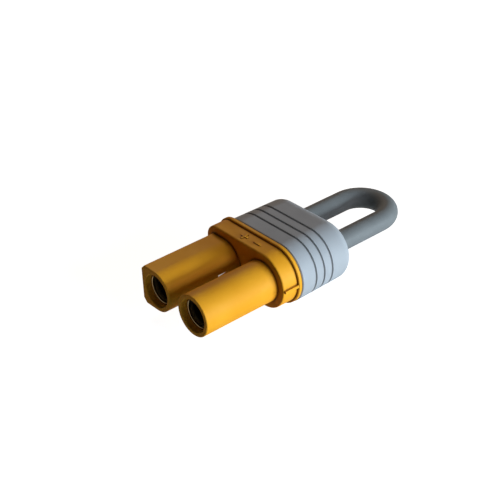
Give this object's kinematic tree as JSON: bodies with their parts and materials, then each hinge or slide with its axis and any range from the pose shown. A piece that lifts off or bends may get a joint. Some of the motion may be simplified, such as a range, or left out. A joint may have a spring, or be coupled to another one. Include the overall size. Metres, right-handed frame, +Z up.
{
  "type": "battery loop connector",
  "caption": "Two-pole high-current battery socket with keyed and round barrels, a grooved rear cap, and a short cable loop that bridges the poles.",
  "frame": {"origin": "middle of the part's footprint, on the plane that the rim and the cap's flat underside rest on", "axes": "+Y from the mating face of the barrels towards the cable loop, +Z up, +X towards the round-sided barrel"},
  "size_m": [0.0232, 0.0549, 0.0122],
  "materials": {
    "housing_nylon": "moulded, fine satin, orange yellow",
    "cap_nylon": "moulded, fine matte, light grey",
    "contact_gold": "turned brass with a thin gold plating",
    "solder": "bright solder",
    "tinned_copper": "fine tinned copper strands",
    "cable_silicone": "smooth matte silicone, mid grey"
  },
  "bodies": {
    "root": {"socket_housing": "housing_nylon", "rear_cap": "cap_nylon", "left_contact": "contact_gold", "right_contact": "contact_gold", "left_solder_joint": "solder", "right_solder_joint": "solder", "loop_conductor": "tinned_copper", "loop_cable_jacket": "cable_silicone"}
  },
  "joints": []
}
